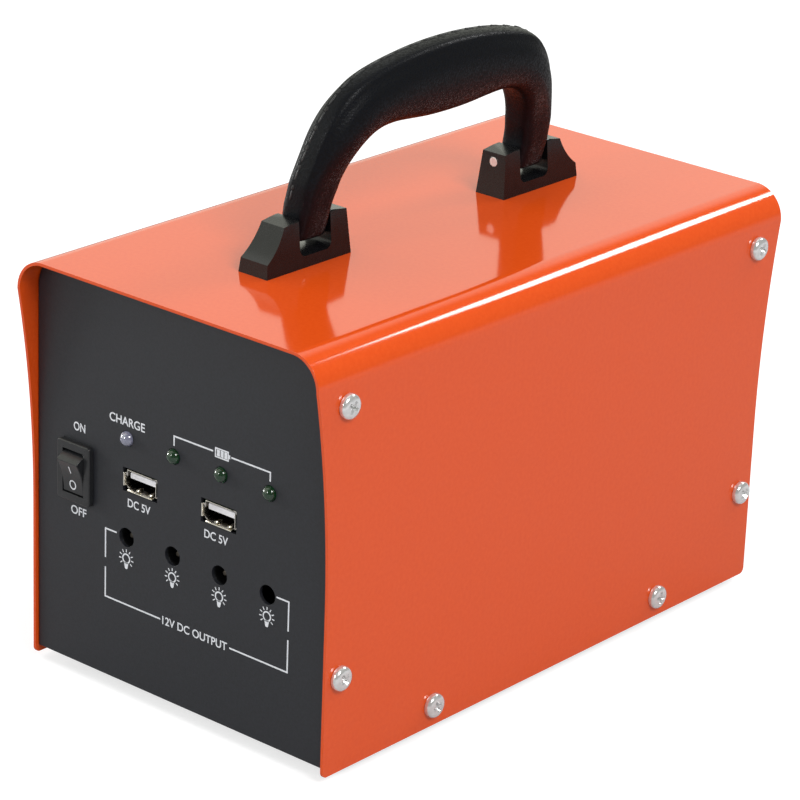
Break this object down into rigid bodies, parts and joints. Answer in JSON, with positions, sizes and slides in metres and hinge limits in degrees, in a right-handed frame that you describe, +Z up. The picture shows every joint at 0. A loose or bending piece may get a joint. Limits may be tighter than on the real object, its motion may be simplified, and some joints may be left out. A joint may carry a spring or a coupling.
{
  "type": "portable power station",
  "caption": "Box-shaped portable battery power station with a folded steel cover, fold-down carry handle, rocker switch, USB and round DC outlets and charge indicators.",
  "frame": {"origin": "middle of the footprint, on the surface under the rubber feet", "axes": "+X to the object's right seen from its front, -Y out of the front panel, +Z up; +Y is the longest side and +X the shortest"},
  "size_m": [0.131, 0.2298, 0.2042],
  "materials": {
    "orange_enamel": "gloss",
    "panel_coat": "satin",
    "zinc_sheet": "satin",
    "bright_screw": "polished",
    "plated_steel": "satin",
    "foot_rubber": "matte",
    "bracket_plastic": "satin",
    "grip_rubber": "grained",
    "core_plastic": "satin",
    "switch_plastic": "satin",
    "brass": "satin",
    "nickel": "bright",
    "led_clear": "clear",
    "led_green": "clear",
    "white_plastic": "gloss",
    "socket_plastic": "satin",
    "board_laminate": "gloss",
    "bare_aluminium": "satin",
    "ferrite": "matte",
    "fuse_glass": "clear",
    "terminal_plastic": "satin",
    "battery_plastic": "satin",
    "battery_plates": "dull",
    "red_pvc": "satin",
    "black_pvc": "satin"
  },
  "bodies": {
    "case": {"cover": "orange_enamel", "front_panel": "panel_coat", "rear_panel": "panel_coat", "base_tray": "zinc_sheet", "load_plates": "zinc_sheet", "battery_strap": "zinc_sheet", "cover_screws": "bright_screw", "cover_nuts": "plated_steel", "base_nuts": "plated_steel", "foot_screws": "plated_steel", "tray_screws": "plated_steel", "bracket_screws": "plated_steel", "board_screws": "plated_steel", "pivot_pins": "plated_steel", "led_leads": "plated_steel", "rubber_feet": "foot_rubber", "foam_pad": "foot_rubber", "handle_bracket_front": "bracket_plastic", "handle_bracket_rear": "bracket_plastic", "switch_housing": "switch_plastic", "bracket_inserts": "brass", "usb_contacts": "brass", "battery_terminals": "brass", "spade_connectors": "brass", "usb_shell_left": "nickel", "usb_shell_right": "nickel", "socket_pins": "nickel", "switch_terminals": "nickel", "charge_led": "led_clear", "battery_led_1": "led_green", "battery_led_2": "led_green", "battery_led_3": "led_green", "usb_tongue_left": "white_plastic", "usb_tongue_right": "white_plastic", "dc_jack_1": "socket_plastic", "dc_jack_2": "socket_plastic", "dc_jack_3": "socket_plastic", "dc_jack_4": "socket_plastic", "charge_inlet": "socket_plastic", "inlet_nut": "socket_plastic", "fuse_holder": "socket_plastic", "power_transistor": "socket_plastic", "control_board": "board_laminate", "heatsink": "bare_aluminium", "board_studs": "bare_aluminium", "capacitors": "bare_aluminium", "inductor": "ferrite", "fuse": "fuse_glass", "terminal_block": "terminal_plastic", "battery_case": "battery_plastic", "battery_lid": "battery_plastic", "battery_cells": "battery_plates", "battery_lead_red": "red_pvc", "battery_lead_black": "black_pvc", "charge_lead": "black_pvc", "switch_leads": "black_pvc"},
    "handle": {"handle_core": "core_plastic", "handle_grip": "grip_rubber"},
    "rocker": {"rocker": "switch_plastic", "rocker_plunger": "brass"}
  },
  "joints": [
    {"name": "handle_fold", "type": "hinge", "parent": "case", "child": "handle", "pos_m": [0, 0, 0.1515], "axis": [0, 1, 0], "range_deg": [-101.5, 78.5]},
    {"name": "rocker_switch", "type": "hinge", "parent": "case", "child": "rocker", "pos_m": [-0.0441, -0.1058, 0.0713], "axis": [-1, 0, 0], "range_deg": [0, 29.8]}
  ]
}
